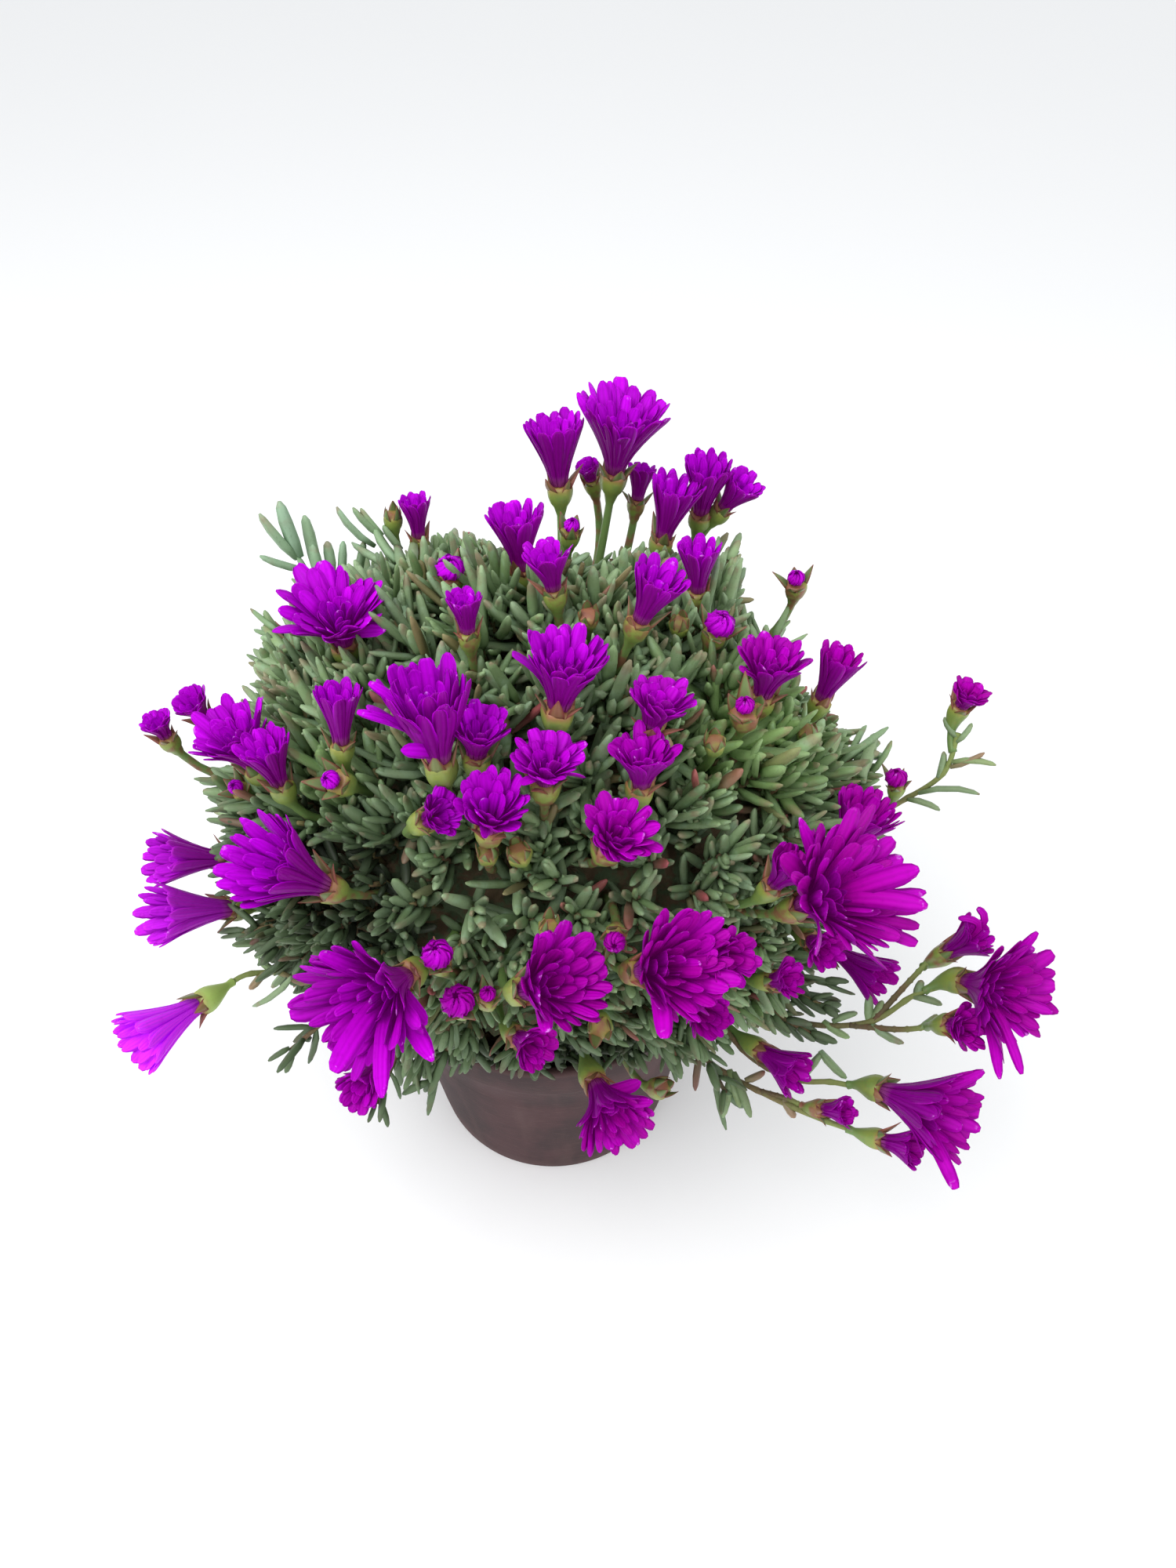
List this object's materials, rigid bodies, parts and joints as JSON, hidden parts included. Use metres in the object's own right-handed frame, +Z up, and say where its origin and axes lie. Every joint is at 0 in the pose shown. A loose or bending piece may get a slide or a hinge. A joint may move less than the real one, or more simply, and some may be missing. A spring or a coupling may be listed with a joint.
{
  "type": "potted flowering succulent",
  "caption": "Round mound of finger-leaved ice plant with violet many-petalled flowers on stalks, standing in a small tapered plastic pot.",
  "frame": {"origin": "centre of the pot's flat underside, where it rests", "axes": "+Z up along the pot's axis, +X to the right and +Y away from the viewer as the plant is pictured from its front"},
  "size_m": [0.3262, 0.2764, 0.3079],
  "materials": {
    "pot_plastic": "satin mauve-brown moulded plastic",
    "potting_mix": "dark crumbly bark and peat mix",
    "foliage": "blue-green succulent leaves, yellow-green calyces, light green stalks",
    "petal": "satin violet-magenta petals"
  },
  "bodies": {
    "root": {"pot": "pot_plastic", "potting_mix": "potting_mix", "leafy_clump_right": "foliage", "leafy_clump_back": "foliage", "leafy_clump_left": "foliage", "leafy_clump_front": "foliage", "bloom_crown_tallest": "petal", "bloom_crown_left_funnel": "petal", "bloom_crown_small_dark": "petal", "bloom_crown_narrow": "petal", "bloom_crown_right_funnel": "petal", "bloom_crown_right_high": "petal", "bloom_crown_right_edge": "petal", "bloom_back_left_funnel": "petal", "bloom_back_middle": "petal", "bloom_back_slender": "petal", "bloom_right_of_crown": "petal", "bloom_leaning_right": "petal", "bloom_red_sepalled": "petal", "bloom_right_shoulder": "petal", "bloom_right_shoulder_narrow": "petal", "bloom_middle_funnel": "petal", "bloom_middle_right": "petal", "bloom_left_shoulder_open": "petal", "bloom_left_narrow": "petal", "blooms_left_centre_pair": "petal", "blooms_left_edge_pair": "petal", "bloom_left_edge_behind": "petal", "bloom_left_edge_small": "petal", "bloom_centre_rosette": "petal", "bloom_centre_right": "petal", "bloom_centre_facing": "petal", "bloom_centre_dark": "petal", "bloom_centre_fan": "petal", "bloom_far_right_small": "petal", "blooms_right_pair": "petal", "bloom_right_upper": "petal", "bloom_left_low_upper": "petal", "bloom_left_low_lower": "petal", "bloom_left_lower_open": "petal", "bloom_left_pale_trailing": "petal", "bloom_front_left_largest": "petal", "bloom_front_left_under": "petal", "bloom_front_middle": "petal", "bloom_front_middle_under": "petal", "blooms_front_right_pair": "petal", "bloom_front_right_under": "petal", "bloom_front_low": "petal", "bloom_right_small": "petal", "bloom_right_under_inner": "petal", "bloom_right_under_outer": "petal", "bloom_right_low": "petal", "blooms_far_right_pair": "petal", "bloom_far_right_upper": "petal", "blooms_low_right_pair": "petal", "bloom_low_right_small": "petal", "bloom_back_right_low": "petal", "bloom_back_left_low": "petal", "bloom_back_centre_low": "petal"}
  },
  "joints": []
}
